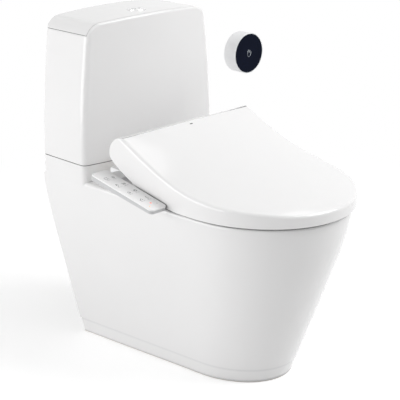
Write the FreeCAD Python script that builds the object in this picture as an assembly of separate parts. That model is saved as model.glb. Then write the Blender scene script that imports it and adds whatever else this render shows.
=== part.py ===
import FreeCAD, Part
import math
import os
from FreeCAD import Vector

# Smart toilet: close-coupled pan and tank, heated bidet seat and a wall-mounted touchless sensor.
# Millimetres. +Z is up, the front faces -Y and the wall stands behind at +Y.
# The origin lies on the floor at the axis of the waste outlet.

# --- overall layout ---
rough_in = 305.0              # outlet axis to the wall
rim_top = 380.0               # top of the pan's rim
column_rise = 37.0            # raised block that carries the tank, above the rim
pan_nose = 357.0              # outlet axis to the front of the rim
rim_half = 184.0              # half width of the rim where the nose begins
rim_half_y = -150.0           # place of that width
pan_rear_gap = 2.0            # pan to wall at rim height

# --- pan: plinth and skirt ---
plinth_height = 34.0
plinth_step = 2.5
foot_nose = 233.0
foot_half = 115.0
foot_half_y = -80.0
foot_rear_half = 147.0
foot_rear_y = 235.0
skirt_ease = 7.0              # larger values keep the skirt straight for longer below the rim
skirt_wall = 12.0
deck_thickness = 14.0
rim_round = 6.0

# --- pan: bowl, trapway and ducts ---
bowl_half = 122.0
bowl_front_land = 58.0        # nose of the rim to the bowl's front edge
bowl_rear_y = 45.0            # place of the bowl's rear edge
bowl_floor = 104.0
bowl_wall = 11.0
trap_bore = 27.0
trap_wall = 10.0
trap_bend = 40.0
duct_bore = 34.0
duct_wall = 10.0
inlet_recess_radius = 50.0
inlet_recess_depth = 12.0
column_thickness = 22.0
access_half = 100.0
access_low = 46.0
access_drop = 58.0            # rim to the top of the opening in the back
lug_thickness = 16.0
lug_size = 46.0
floor_hole_x = 104.0
floor_hole_y = 196.0
floor_hole_radius = 4.5

# --- tank ---
seam_gap = 1.5
tank_depth = 139.0
tank_base_half = 192.0
tank_waist_half = 187.0       # at waist height
tank_waist_height = 120.0     # above the tank's base
tank_shoulder_half = 171.0    # at the lid's seam
tank_wall = 12.0
tank_front_rim = 9.0          # front face to the lid's front edge
tank_floor = 12.0
tank_bow = 17.0               # how far the front bulges ahead of its corners
tank_corner = 11.0
lid_seam_height = 273.5       # tank base to the lid's seam
tank_lid_height = 30.0        # seam to crown
crown_sag = 5.0
shoulder_round = 42.0
tank_edge_round = 5.0
tank_lid_wall = 9.0

# --- flushing parts ---
valve_y_from_wall = 77.0
valve_flange_radius = 38.0
valve_tail_radius = 29.5
valve_tail_bore = 24.0
valve_height = 166.0
valve_tube_radius = 14.0
post_radius = 3.0
fill_x = -130.0
fill_shank_radius = 11.0
fill_tail_radius = 10.2
fill_tail_length = 41.0
fill_nut_height = 9.0
spout_reach = 38.0
fill_tower_radius = 9.0
fill_height = 206.0
float_radius = 23.0
float_height = 45.0
tank_bolt_x = 78.0
tank_bolt_radius = 4.0
button_radius = 16.0
button_y_from_wall = 100.0
bezel_radius = 20.0
bezel_sink = 1.0
button_sleeve = 2.4
button_depth = 26.0
button_height = 11.0
lid_gap = 1.0
lid_shadow_depth = 3.0
lid_lip = 6.0
lid_hollow_margin = 28.0
tank_lid_top = 13.0
washer = 2.0
valve_nut_radius = 40.0
valve_nut_height = 10.0
tank_nut_height = 8.0
rod_radius = 3.0
rod_offset = 9.0

# --- hinge line shared by seat and lid ---
hinge_y = 48.0
hinge_rise = 84.0             # above the rim
hinge_shaft_radius = 5.0
running_gap = 0.05
side_gap = 1.0

# --- bidet base ---
base_half = 164.0
base_wall = 2.5
base_front = -6.0
base_rear = 112.0
base_split_rise = 24.0        # seam between the lower housing and the cover, above the rim
base_box_rise = 42.0
base_core_radius = 29.5
plate_thickness = 3.0
seat_bolt_x = 70.0
seat_bolt_y = 92.0
seat_bolt_radius = 4.0

# --- seat ring ---
seat_clearance = 4.0          # seat edge to the inside of the lid
seat_lift = 4.0               # underside of the seat above the rim
seat_nose_height = 17.0
seat_slope = 0.05
seat_open_half = 108.0
seat_front_land = 64.0        # nose of the rim to the front of the seat's opening
seat_open_rear_y = -37.0
seat_shell = 2.5
seat_round = 7.0
seat_arm_width = 10.0
seat_arm_radius = 13.0

# --- lid ---
lid_side_reach = 8.0          # lid beyond the rim at the sides
lid_nose_reach = 9.0          # lid beyond the rim at the nose
lid_boss = 8.5                # width of the boss that turns on the hinge shaft
lid_shell_wall = 3.5
lid_skirt_gap = 4.0           # lower edge of the lid above the rim
hood_radius = 38.0
lid_round = 7.0
groove = 1.2
hood_end = 100.0              # angle of the hood's rear edge, from the top
# lower edge of the lid from nose to hood: (from the hinge line, above the edge at the nose)
skirt_rise = [(-180.0, 0.0), (-138.0, 2.0), (-98.0, 8.5), (-58.0, 20.0), (-28.0, 33.0), (-2.0, 46.0),
              (15.0, 55.5), (29.0, 65.0)]
# rear of the crown: (from the hinge line, side and middle measured from the top of the hood)
crown_rear = [(22.0, 9.0, 10.0), (0.0, 0.0, 1.0), (-26.0, -13.0, -7.5), (-84.0, -40.5, -26.5),
              (-141.0, -61.5, -43.0), (-218.0, -78.0, -61.0)]
# front of the crown: (from the nose, side and middle measured from the lid's lower edge)
crown_front = [(105.0, 32.0, 43.0), (46.0, 27.0, 34.0), (14.0, 23.5, 27.0), (-24.0, 19.0, 21.0)]

# --- nozzles ---
nozzle_tilt = 22.0
nozzle_radius = 5.5
nozzle_x = 8.5
nozzle_front_y = 3.0
nozzle_length = 88.0
nozzle_exit_drop = 6.0        # rim down to the nozzles' axis at y = 0

# --- inside the base ---
base_front_rise = 52.0        # shoulder of the base's front, above the rim
channel_radius = 44.0
channel_end = 215.0
arm_front = 46.0
arm_rear = 88.0
arm_height = 37.0
cradle_half = 17.0
cradle_depth = 17.0
cradle_start = 15.0
cradle_slot_end = 58.0
motor_radius = 12.0
damper_radius = 15.0
damper_length = 66.0
shaft_depth = 30.0
inlet_x = -120.0
inlet_rise = 14.5             # water and power inlets, above the rim
inlet_radius = 7.0
inlet_reach = 16.0
gland_x = 130.0
gland_radius = 6.0
gland_bore = 3.2
heater_x0 = 66.0
heater_x1 = 152.0
heater_y0 = 6.0
heater_y1 = 76.0
board_x = -72.0
board_y = 34.0
board_lift = 3.0

# --- control panel ---
panel_width = 43.0
panel_length = 186.0
panel_gap = 1.0               # lid to panel
panel_y = -0.5
panel_rise = 31.5             # middle of the panel's top, above the rim
panel_tilt = 10.7
panel_corner = 8.0
panel_front_depth = 9.5
panel_rear_depth = 13.5
panel_top_thickness = 3.0
panel_skin = 2.0
key_width = 13.0
key_length = 15.0
key_thickness = 2.0
key_gap = 0.1
key_start = 36.0              # rear end of the panel to the first row of keys
key_pitch = 35.0
key_travel = 0.6
key_columns = (-8.5, 8.5)
key_rows = 4
key_rise = 0.5

# --- touchless sensor ---
sensor_x = 426.0
sensor_z = 551.0
sensor_radius = 50.0
sensor_depth = 38.0
sensor_wall = 2.5
sensor_face_radius = 48.3
sensor_face_thickness = 2.0
sensor_plate = 2.0
sensor_screw_radius = 2.2
cell_radius = 7.0
cell_length = 50.0

# --- worked out from the values above ---
wall_y = rough_in
column_top = rim_top + column_rise
tank_base = column_top + seam_gap
tank_front = wall_y - tank_depth
lid_seam = tank_base + lid_seam_height
tank_crown = lid_seam + tank_lid_height
valve_y = wall_y - valve_y_from_wall
button_y = wall_y - button_y_from_wall
bowl_length_half = (bowl_rear_y + pan_nose - bowl_front_land) / 2
bowl_centre_y = bowl_rear_y - bowl_length_half
hinge_z = rim_top + hinge_rise
base_floor = rim_top + plate_thickness
base_split = rim_top + base_split_rise
base_box_top = rim_top + base_box_rise
base_front_height = rim_top + base_front_rise
inlet_z = rim_top + inlet_rise
nozzle_exit_z = rim_top - nozzle_exit_drop
seat_bottom = rim_top + seat_lift
seat_open_length_half = (seat_open_rear_y + pan_nose - seat_front_land) / 2
seat_open_centre_y = seat_open_rear_y - seat_open_length_half
lid_low = rim_top + lid_skirt_gap
lid_half = rim_half + lid_side_reach
lid_half_y = rim_half_y
lid_nose = pan_nose + lid_nose_reach
lid_rear_half = base_half + seat_arm_width + 2 * side_gap + lid_boss + lid_shell_wall
panel_x = -(lid_half + panel_gap + panel_width / 2)
panel_z = rim_top + panel_rise


def box(x0, x1, y0, y1, z0, z1):
    return Part.makeBox(x1 - x0, y1 - y0, z1 - z0, Vector(x0, y0, z0))


def rod(radius, start, end):
    start, end = Vector(*start), Vector(*end)
    return Part.makeCylinder(radius, (end - start).Length, start, end - start)


def tube(outer, inner, start, end):
    return rod(outer, start, end).cut(rod(inner, start, end))


def disc(radius, x, y, z0, z1):
    return rod(radius, (x, y, z0), (x, y, z1))


def ring(outer, inner, x, y, z0, z1):
    return tube(outer, inner, (x, y, z0), (x, y, z1))


def mirrored(shape):
    return shape.mirror(Vector(0, 0, 0), Vector(1, 0, 0))


def spline_edge(points):
    curve = Part.BSplineCurve()
    curve.interpolate([Vector(*p) for p in points])
    return curve.toShape()


def line_edge(a, b):
    return Part.makeLine(Vector(*a), Vector(*b))


def arc_edge(a, b, c):
    return Part.Arc(Vector(*a), Vector(*b), Vector(*c)).toShape()


def prism(wire, height):
    return Part.Face(wire).extrude(Vector(0, 0, height))


def profile_x(edges, half):
    """Extrude a closed profile in the YZ plane to both sides of the middle."""
    face = Part.Face(Part.Wire(Part.__sortEdges__(edges)))
    face.translate(Vector(-half, 0, 0))
    return face.extrude(Vector(2 * half, 0, 0))


def polygon_x(points, half):
    """Extrude a polygon given as (y, z) points."""
    ends = points[1:] + points[:1]
    return profile_x([line_edge((0,) + a, (0,) + b) for a, b in zip(points, ends)], half)


def nose_outline(rear_half, rear_y, side_half, side_y, nose, z):
    """Closed outline: straight rear edge, gently tapered sides and an elliptical nose."""
    half = []
    for share in (0.0, 0.33, 0.67):
        half.append((rear_half + share * (side_half - rear_half), rear_y + share * (side_y - rear_y)))
    for degrees in (0, 20, 40, 60, 78):
        turn = math.radians(degrees)
        half.append((side_half * math.cos(turn), side_y - (nose + side_y) * math.sin(turn)))
    left = [(-x, y, z) for x, y in half]
    right = [(x, y, z) for x, y in reversed(half)]
    edge = spline_edge(left + [(0, -nose, z)] + right)
    return Part.Wire([edge, line_edge((rear_half, rear_y, z), (-rear_half, rear_y, z))])


def oval(half_width, half_length, centre_y, z):
    edge = Part.Ellipse(Vector(0, centre_y + half_length, z), Vector(half_width, centre_y, z),
                        Vector(0, centre_y, z)).toShape()
    return Part.Wire([edge])


def rounded_path(points, radius):
    """Straight runs in the YZ plane joined by tangent arcs."""
    points = [Vector(0, y, z) for y, z in points]
    edges, start = [], points[0]
    for before, corner, after in zip(points, points[1:], points[2:]):
        inward, outward = (before - corner).normalize(), (after - corner).normalize()
        half = inward.getAngle(outward) / 2
        reach = radius / math.tan(half)
        first, last = corner + inward * reach, corner + outward * reach
        middle = corner + (inward + outward).normalize() * (radius / math.sin(half) - radius)
        edges.append(Part.makeLine(start, first))
        edges.append(Part.Arc(first, middle, last).toShape())
        start = last
    edges.append(Part.makeLine(start, points[-1]))
    return Part.Wire(edges)


def pipe(path, radius):
    first = path.Edges[0]
    direction = first.tangentAt(first.FirstParameter)
    circle = Part.makeCircle(radius, first.valueAt(first.FirstParameter), direction)
    return path.makePipeShell([Part.Wire(circle)], True, False)


# --- pan ---

def skirt_share(z):
    """0 at the plinth, 1 at the rim; straight for most of the height, then upright."""
    t = (z - plinth_height) / (rim_top - plinth_height)
    return t + (t - t ** (skirt_ease + 1)) / skirt_ease


def plinth_section(z, inset):
    """Plinth outline, which leans out with the skirt above it."""
    rise = z / rim_top
    return nose_outline(foot_rear_half + rise * (tank_base_half - foot_rear_half) - inset,
                        foot_rear_y + rise * (wall_y - foot_rear_y) - inset,
                        foot_half + rise * (rim_half - foot_half) - inset,
                        foot_half_y + rise * (rim_half_y - foot_half_y),
                        foot_nose + rise * (pan_nose - foot_nose) - inset, z)


def skirt_section(z, inset):
    share = skirt_share(min(z, rim_top))
    rise = plinth_height / rim_top

    def between(foot, top):
        low = foot + rise * (top - foot)
        return low + share * (top - low)

    out = plinth_step * (1 - share) - inset
    return nose_outline(between(foot_rear_half, tank_base_half) + out,
                        between(foot_rear_y, wall_y - pan_rear_gap) + out,
                        between(foot_half, rim_half) + out,
                        between(foot_half_y, rim_half_y),
                        between(foot_nose, pan_nose) + out, z)


def skirt_levels(top):
    steps = 5
    return [plinth_height + (top - plinth_height) * n / steps for n in range(steps + 1)]


def pan_outside():
    plinth = Part.makeLoft([plinth_section(0, 0), plinth_section(plinth_height, 0)], True, True)
    skirt = Part.makeLoft([skirt_section(z, 0) for z in skirt_levels(rim_top)], True, False)
    skirt = skirt.makeFillet(rim_round, [e for e in skirt.Edges if e.BoundBox.ZMin > rim_top - 0.5
                                         and e.Length > 2 * rim_half])
    column_wires = [tank_outline(tank_base_half, z) for z in (rim_top - rim_round - 2, column_top)]
    column = Part.makeLoft(column_wires, True, True)
    return plinth.fuse(skirt).fuse(column)


def pan_hollow():
    top = rim_top - deck_thickness
    low = Part.makeLoft([plinth_section(0, skirt_wall), plinth_section(plinth_height, skirt_wall)],
                        True, True)
    high = Part.makeLoft([skirt_section(z, skirt_wall) for z in skirt_levels(top)], True, False)
    column = box(-tank_base_half + 2 * skirt_wall, tank_base_half - 2 * skirt_wall,
                 tank_front + skirt_wall, wall_y - 1.5 * skirt_wall, top - skirt_wall,
                 column_top - column_thickness)
    return low.fuse(high).fuse(column)


def bowl_solid(extra, top):
    """Bowl shape; extra is the wall added all round."""
    span = top - bowl_floor
    rows = ((1.0, 1.0, 1.0, 0.0), (0.86, 0.985, 0.985, 0.0), (0.64, 0.885, 0.885, 3.0),
            (0.42, 0.69, 0.70, 10.0), (0.22, 0.44, 0.455, 22.0), (0.08, 0.28, 0.27, 32.0),
            (0.0, 0.18, 0.155, 35.0))
    wires = []
    for share, wide, long, shift in rows:
        z = bowl_floor + share * span - (extra if share == 0 else 0)
        wires.append(oval(bowl_half * wide + extra, bowl_length_half * long + extra,
                          bowl_centre_y + shift, z))
    return Part.makeLoft(wires, True, False)


def trap_path():
    sump_y = bowl_centre_y + 36
    return rounded_path([(sump_y, bowl_floor + 16), (40, bowl_floor + 118), (108, bowl_floor + 86),
                         (104, 95), (0, 72), (0, 0)], trap_bend)


def duct_path():
    level = rim_top - deck_thickness - duct_bore - 2
    return rounded_path([(valve_y, column_top), (valve_y, level),
                         (bowl_centre_y + bowl_length_half - 14, level - 8)], duct_bore + duct_wall + 2)


def floor_lug():
    inner = floor_hole_x - lug_size / 2
    block = box(inner, foot_rear_half + 10, floor_hole_y - lug_size / 2, floor_hole_y + lug_size / 2,
                0, lug_thickness)
    return block.fuse(mirrored(block))


def pan():
    outside = pan_outside()
    body = outside.cut(pan_hollow())
    body = body.cut(box(-access_half, access_half, foot_rear_y - 2 * skirt_wall, wall_y, access_low,
                        rim_top - access_drop))
    body = body.fuse(bowl_solid(bowl_wall, rim_top - deck_thickness + 1))
    body = body.fuse(pipe(trap_path(), trap_bore + trap_wall))
    body = body.fuse(pipe(duct_path(), duct_bore + duct_wall))
    inside_foot = Part.makeLoft([plinth_section(0, 1), plinth_section(plinth_height, 1)], True, True)
    body = body.fuse(floor_lug().common(inside_foot))
    body = body.cut(bowl_solid(0, rim_top))
    body = body.cut(pipe(trap_path(), trap_bore))
    body = body.cut(pipe(duct_path(), duct_bore))
    body = body.cut(disc(inlet_recess_radius, 0, valve_y, column_top - inlet_recess_depth, column_top))
    for side in (-1, 1):
        body = body.cut(disc(tank_bolt_radius + 1, side * tank_bolt_x, valve_y, rim_top, column_top))
        body = body.cut(disc(seat_bolt_radius + 3, side * seat_bolt_x, seat_bolt_y,
                             rim_top - 2 * deck_thickness, rim_top))
        body = body.cut(disc(floor_hole_radius, side * floor_hole_x, floor_hole_y, 0, lug_thickness))
    body = body.cut(disc(fill_shank_radius + 7, fill_x, valve_y, rim_top - deck_thickness, column_top))
    return body.removeSplitter()


def outlet_seal():
    return ring(trap_bore + trap_wall + 18, trap_bore + trap_wall + 0.3, 0, 0, 0, 18)


# --- tank ---

def tank_outline(half, z):
    """Flat back, straight sides, rounded corners and a bowed front."""
    back, front, r = wall_y, tank_front, tank_corner
    cut = r * (1 - math.sqrt(0.5))
    bow_at_corner = tank_bow * (1 - ((half - r) / half) ** 2)
    front_corner = front - bow_at_corner
    edges = [
        line_edge((-half + r, back, z), (half - r, back, z)),
        arc_edge((half - r, back, z), (half - cut, back - cut, z), (half, back - r, z)),
        line_edge((half, back - r, z), (half, front + r, z)),
        arc_edge((half, front + r, z), (half - cut, front + cut - bow_at_corner / 2, z),
                 (half - r, front_corner, z)),
        arc_edge((half - r, front_corner, z), (0, front - tank_bow, z), (-half + r, front_corner, z)),
        arc_edge((-half + r, front_corner, z), (-half + cut, front + cut - bow_at_corner / 2, z),
                 (-half, front + r, z)),
        line_edge((-half, front + r, z), (-half, back - r, z)),
        arc_edge((-half, back - r, z), (-half + cut, back - cut, z), (-half + r, back, z)),
    ]
    return Part.Wire(edges)


def tank_half(z):
    """Barrel-sided: half width of the tank at a height, an arc through three given widths."""
    waist, seam = tank_waist_height, lid_seam_height
    h = z - tank_base
    a = (tank_waist_half - tank_base_half) / waist
    b = ((tank_shoulder_half - tank_waist_half) / (seam - waist) - a) / seam
    return tank_base_half + a * h + b * h * (h - waist)


def tank_mass(inset):
    levels = [tank_base + lid_seam_height * n / 4 for n in range(5)] + [tank_crown + 5]
    wires = []
    for z in levels:
        wire = tank_outline(tank_half(z), z)
        if inset:
            wire = wire.makeOffset2D(-inset)
        wires.append(wire)
    return Part.makeLoft(wires, True, False)


def front_view(drop, inset):
    """The tank seen from the front, with round shoulders and a crowned top, run front to back."""
    half = tank_half(lid_seam) + 3 - inset
    top = tank_crown - drop
    r = shoulder_round - inset
    side_top = top - crown_sag - r
    cut = r * (1 - math.sqrt(0.5))
    y = wall_y + 10
    wide = tank_base_half + 20
    low = tank_base - 10
    edges = [
        line_edge((-wide, y, low), (wide, y, low)),
        line_edge((wide, y, low), (wide, y, tank_base + lid_seam_height / 2)),
        line_edge((wide, y, tank_base + lid_seam_height / 2), (half, y, side_top)),
        arc_edge((half, y, side_top), (half - cut, y, top - crown_sag - cut), (half - r, y, top - crown_sag)),
        arc_edge((half - r, y, top - crown_sag), (0, y, top), (-half + r, y, top - crown_sag)),
        arc_edge((-half + r, y, top - crown_sag), (-half + cut, y, top - crown_sag - cut),
                 (-half, y, side_top)),
        line_edge((-half, y, side_top), (-wide, y, tank_base + lid_seam_height / 2)),
        line_edge((-wide, y, tank_base + lid_seam_height / 2), (-wide, y, low)),
    ]
    return Part.Face(Part.Wire(edges)).extrude(Vector(0, -tank_depth - 60, 0))


def tank_whole():
    body = tank_mass(0).common(front_view(0, 0))
    shoulders = []
    for e in body.Edges:
        middle = e.valueAt((e.FirstParameter + e.LastParameter) / 2)
        if middle.z > lid_seam - 3 and abs(middle.z - lid_seam) > 3 or e.BoundBox.ZMin > tank_crown - 8:
            shoulders.append(e)
    return body.makeFillet(tank_edge_round, shoulders)


def tank():
    bolts = [(x, valve_y, tank_bolt_radius + 0.5) for x in (-tank_bolt_x, tank_bolt_x)]
    holes = bolts + [(0, valve_y, valve_tail_radius + 0.7), (fill_x, valve_y, fill_shank_radius + 0.5)]
    inside = tank_mass(tank_wall)
    inside = inside.cut(box(-tank_base_half, tank_base_half, tank_front - tank_bow, wall_y,
                            tank_base - 1, tank_base + tank_floor))
    body = tank_whole().cut(inside).cut(lid_zone(0))
    for x, y, radius in holes:
        body = body.cut(disc(radius, x, y, tank_base - 1, tank_base + tank_floor + 1))
    return body


def lid_zone(gap):
    """The space that the tank's lid takes: above the seam and behind the front wall."""
    zone = Part.Face(tank_outline(tank_base_half + 5, lid_seam)).extrude(Vector(0, 0, tank_lid_height + 20))
    zone.translate(Vector(0, tank_front_rim + gap, 0))
    return zone


def tank_lid():
    body = tank_whole().common(lid_zone(lid_gap))
    shadow = tank_mass(-1).cut(tank_mass(lid_shadow_depth))
    body = body.cut(shadow.common(box(-tank_base_half, tank_base_half, 0, wall_y + 5,
                                      lid_seam, lid_seam + lid_gap)))
    half = tank_shoulder_half - tank_wall - 2 * lid_gap
    front, back = tank_front + tank_wall + 4, wall_y - tank_wall - 2 * lid_gap
    lip = box(-half, half, front, back, lid_seam - lid_lip, lid_seam + 2)
    hollow = half - lid_hollow_margin
    body = body.fuse(lip)
    body = body.cut(box(-hollow, hollow, front + tank_lid_wall, back - tank_lid_wall,
                        lid_seam - lid_lip, tank_crown - tank_lid_top))
    body = body.cut(disc(button_radius + button_sleeve + 0.3, 0, button_y, lid_seam, tank_crown + 1))
    body = body.cut(disc(bezel_radius + 0.3, 0, button_y, tank_crown - bezel_sink, tank_crown + 1))
    return body.removeSplitter()


def tank_seals():
    inner_floor = tank_base + tank_floor
    recess = column_top - inlet_recess_depth
    solids = [ring(inlet_recess_radius - 0.5, valve_nut_radius + 0.5, 0, valve_y, recess, tank_base),
              ring(valve_flange_radius - 1, valve_tail_radius + 0.7, 0, valve_y, inner_floor,
                   inner_floor + washer),
              ring(fill_shank_radius + 5, fill_shank_radius + 0.5, fill_x, valve_y, inner_floor,
                   inner_floor + washer)]
    for x in (-tank_bolt_x, tank_bolt_x):
        solids.append(ring(tank_bolt_radius + 5, tank_bolt_radius + 0.3, x, valve_y, inner_floor,
                           inner_floor + washer))
        solids.append(ring(tank_bolt_radius + 10, tank_bolt_radius + 1, x, valve_y, column_top, tank_base))
    return Part.makeCompound(solids)


def hexagon(radius, x, y, z0, z1):
    points = [Vector(x + radius * math.cos(math.radians(60 * n)),
                     y + radius * math.sin(math.radians(60 * n)), z0) for n in range(7)]
    return prism(Part.makePolygon(points), z1 - z0)


def tank_bolts():
    head = tank_base + tank_floor + washer
    tail = column_top - column_thickness - tank_nut_height - 8
    solids = []
    for x in (-tank_bolt_x, tank_bolt_x):
        shank = disc(tank_bolt_radius, x, valve_y, tail, head)
        solids.append(shank.fuse(hexagon(tank_bolt_radius * 2, x, valve_y, head, head + 6)))
    return Part.makeCompound(solids)


def tank_bolt_nuts():
    top = column_top - column_thickness
    solids = []
    for x in (-tank_bolt_x, tank_bolt_x):
        nut = hexagon(tank_bolt_radius * 2, x, valve_y, top - tank_nut_height, top)
        solids.append(nut.cut(disc(tank_bolt_radius + 0.02, x, valve_y, top - tank_nut_height, top)))
    return Part.makeCompound(solids)


def flush_valve_body():
    floor = tank_base + tank_floor + washer
    top = floor + valve_height
    collar = floor + 0.58 * valve_height
    body = ring(valve_flange_radius, valve_tail_bore, 0, valve_y, floor, floor + 4)
    body = body.fuse(ring(valve_tail_radius, valve_tail_bore, 0, valve_y, tank_base - 26, floor + 4))
    post_circle = valve_tail_bore + 4 + post_radius
    for degrees in (90, 210, 330):
        x = post_circle * math.cos(math.radians(degrees))
        y = valve_y + post_circle * math.sin(math.radians(degrees))
        body = body.fuse(disc(post_radius, x, y, floor + 2, top - 2))
    body = body.fuse(ring(valve_flange_radius - 2, valve_tube_radius + running_gap, 0, valve_y,
                          collar, collar + 12))
    body = body.fuse(disc(valve_flange_radius - 2, 0, valve_y, top - 12, top))
    for side in (-1, 1):
        body = body.cut(disc(rod_radius + 0.4, side * rod_offset, button_y, collar - 1, top + 1))
    return body.removeSplitter()


def flush_valve_nut():
    ends = (0, valve_y, tank_base - valve_nut_height, tank_base)
    nut = ring(valve_nut_radius, valve_tail_radius + 0.02, *ends)
    for n in range(6):
        x = valve_nut_radius * math.cos(math.radians(60 * n))
        y = valve_y + valve_nut_radius * math.sin(math.radians(60 * n))
        nut = nut.cut(disc(3, x, y, tank_base - valve_nut_height, tank_base - 3))
    return nut


def flush_valve_tube():
    seat = tank_base + tank_floor + washer + 4
    tube_top = seat + 0.76 * valve_height
    body = disc(valve_tail_bore + 3, 0, valve_y, seat + washer, seat + washer + 4)
    body = body.fuse(disc(valve_tube_radius, 0, valve_y, seat + washer, tube_top))
    body = body.cut(disc(valve_tube_radius - 2.5, 0, valve_y, seat + washer - 1, tube_top + 1))
    return body.removeSplitter()


def flush_valve_seal():
    seat = tank_base + tank_floor + washer + 4
    return ring(valve_tail_bore + 3, valve_tail_bore - 5, 0, valve_y, seat, seat + washer)


def fill_valve_body():
    floor = tank_base + tank_floor + washer
    top = floor + fill_height
    shank_end = tank_base - fill_nut_height
    body = disc(fill_shank_radius, fill_x, valve_y, shank_end, floor + 4)
    body = body.fuse(disc(fill_tail_radius, fill_x, valve_y, shank_end - fill_tail_length, shank_end + 1))
    body = body.fuse(disc(fill_shank_radius + 6, fill_x, valve_y, floor, floor + 4))
    body = body.fuse(disc(fill_tower_radius, fill_x, valve_y, floor, top))
    body = body.fuse(disc(fill_tower_radius + 10, fill_x, valve_y, top - 18, top + 10))
    spout = rod(5, (fill_x, valve_y, top), (fill_x + spout_reach, valve_y, top))
    body = body.fuse(spout)
    body = body.cut(disc(5, fill_x, valve_y, shank_end - fill_tail_length - 1, top - 10))
    return body.removeSplitter()


def fill_valve_nut():
    low = tank_base - fill_nut_height
    nut = hexagon(fill_shank_radius + 5, fill_x, valve_y, low, tank_base)
    return nut.cut(disc(fill_shank_radius + 0.02, fill_x, valve_y, low, tank_base))


def fill_valve_float():
    low = tank_base + tank_floor + washer + 4.3
    return ring(float_radius, fill_tower_radius + running_gap, fill_x, valve_y, low, low + float_height)


def flush_actuator():
    low = tank_base + tank_floor + washer + valve_height
    back = valve_y + 30
    body = box(-22, 22, button_y + rod_radius + 4, back, low, low + 34)
    return body.makeFillet(4, [e for e in body.Edges if abs(e.tangentAt(0).z) > 0.9])


# --- dual flush button ---

def flush_button_housing():
    top, low = tank_crown + 1, tank_crown - button_depth
    body = ring(bezel_radius, button_radius, 0, button_y, tank_crown - bezel_sink, top)
    body = body.fuse(ring(button_radius + button_sleeve, button_radius, 0, button_y, low, top))
    body = body.fuse(disc(button_radius + button_sleeve, 0, button_y, low, low + 2))
    for side in (-1, 1):
        body = body.cut(disc(rod_radius + 0.3, side * rod_offset, button_y, low - 1, low + 3))
    return body.makeFillet(0.8, [e for e in body.Edges if abs(e.BoundBox.ZMin - top) < 0.01
                                 and e.BoundBox.XLength > 2 * bezel_radius - 0.1])


def flush_button(side):
    top = tank_crown + 2
    body = disc(button_radius - running_gap, 0, button_y, top - button_height, top)
    start, end = sorted((side * 0.4, side * 2 * button_radius))
    half = box(start, end, button_y - 2 * button_radius, button_y + 2 * button_radius,
               top - button_height, top)
    body = body.common(half)
    return body.makeFillet(1.0, [e for e in body.Edges if e.BoundBox.ZMin > top - 0.01])


def flush_rod(side):
    foot = tank_base + tank_floor + washer + valve_height - 8
    x = side * rod_offset
    return disc(rod_radius, x, button_y, foot, tank_crown + 2 - button_height)


# --- bidet base ---

def mounting_plate():
    body = box(-seat_bolt_x - 32, seat_bolt_x + 32, seat_bolt_y - 26, base_rear - 2, rim_top, base_floor)
    for side in (-1, 1):
        body = body.cut(disc(seat_bolt_radius + 0.3, side * seat_bolt_x, seat_bolt_y, rim_top, base_floor))
    return body


def seat_fixing_bolts():
    solids = []
    for side in (-1, 1):
        shank = disc(seat_bolt_radius, side * seat_bolt_x, seat_bolt_y,
                     rim_top - deck_thickness - 20, base_floor)
        head = disc(seat_bolt_radius * 2.1, side * seat_bolt_x, seat_bolt_y, base_floor, base_floor + 4)
        solids.append(shank.fuse(head))
    return Part.makeCompound(solids)


def seat_fixing_nuts():
    top = rim_top - deck_thickness
    solids = []
    for side in (-1, 1):
        place = (side * seat_bolt_x, seat_bolt_y, top - 14, top)
        nut = disc(seat_bolt_radius * 3, *place)
        solids.append(nut.cut(disc(seat_bolt_radius + 0.02, *place)))
    return Part.makeCompound(solids)


def base_solid(inset):
    """Box under a round hinge barrel, joined at the front; the channel behind stays free."""
    half = base_half - inset
    core = base_core_radius - inset
    front = base_front + inset
    body = box(-half, half, front, base_rear - inset, base_floor + inset, base_box_top - inset)
    barrel = rod(core, (-half, hinge_y, hinge_z), (half, hinge_y, hinge_z))
    shoulder = base_front_height - inset
    reach = math.hypot(hinge_y - front, hinge_z - shoulder)
    lean = math.atan2(hinge_z - shoulder, hinge_y - front) + math.asin(core / reach)
    run = math.sqrt(reach ** 2 - core ** 2)
    tangent = (front + run * math.cos(lean), shoulder + run * math.sin(lean))
    turn = math.radians(channel_end + 1.4 * inset)
    channel = (hinge_y + channel_radius * math.sin(turn), hinge_z + channel_radius * math.cos(turn))
    low = base_box_top - inset - 2
    block = polygon_x([(front, low), (front, shoulder), tangent, (hinge_y, hinge_z), channel,
                       (channel[0], low)], half)
    return body.fuse(barrel).fuse(block).removeSplitter()


def base_lower_housing():
    tray = base_solid(0).common(box(-base_half, base_half, base_front, base_rear, base_floor, base_split))
    tray = tray.cut(base_solid(base_wall))
    arm_end = panel_x + panel_width / 2
    arm = box(arm_end, -base_half, arm_front, arm_rear, base_floor, base_floor + arm_height)
    hollow = box(arm_end + base_wall, -base_half, arm_front + base_wall, arm_rear - base_wall,
                 base_floor + base_wall, base_floor + arm_height - base_wall)
    passage = box(-base_half - 1, -base_half + 2 * base_wall, arm_front + base_wall,
                  arm_rear - base_wall, base_floor + base_wall, base_split - base_wall)
    tray = tray.fuse(arm.cut(hollow)).cut(passage)
    for side in (-1, 1):
        tray = tray.cut(disc(seat_bolt_radius * 2.1 + 1.5, side * seat_bolt_x, seat_bolt_y, base_floor,
                             base_floor + base_wall))
    tray = tray.cut(box(-cradle_half - 0.3, cradle_half + 0.3, base_front + base_wall, cradle_slot_end,
                        base_floor, base_floor + base_wall))
    for x, radius in ((inlet_x, inlet_radius + 0.3), (gland_x, gland_radius + 0.3)):
        tray = tray.cut(rod(radius, (x, base_rear - 2 * base_wall, inlet_z), (x, base_rear + 1, inlet_z)))
    for x in (board_x - 30, board_x + 30):
        for y in (board_y - 20, board_y + 20):
            tray = tray.fuse(disc(3, x, y, base_floor + base_wall, base_floor + base_wall + board_lift))
    return tray.removeSplitter()


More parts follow.
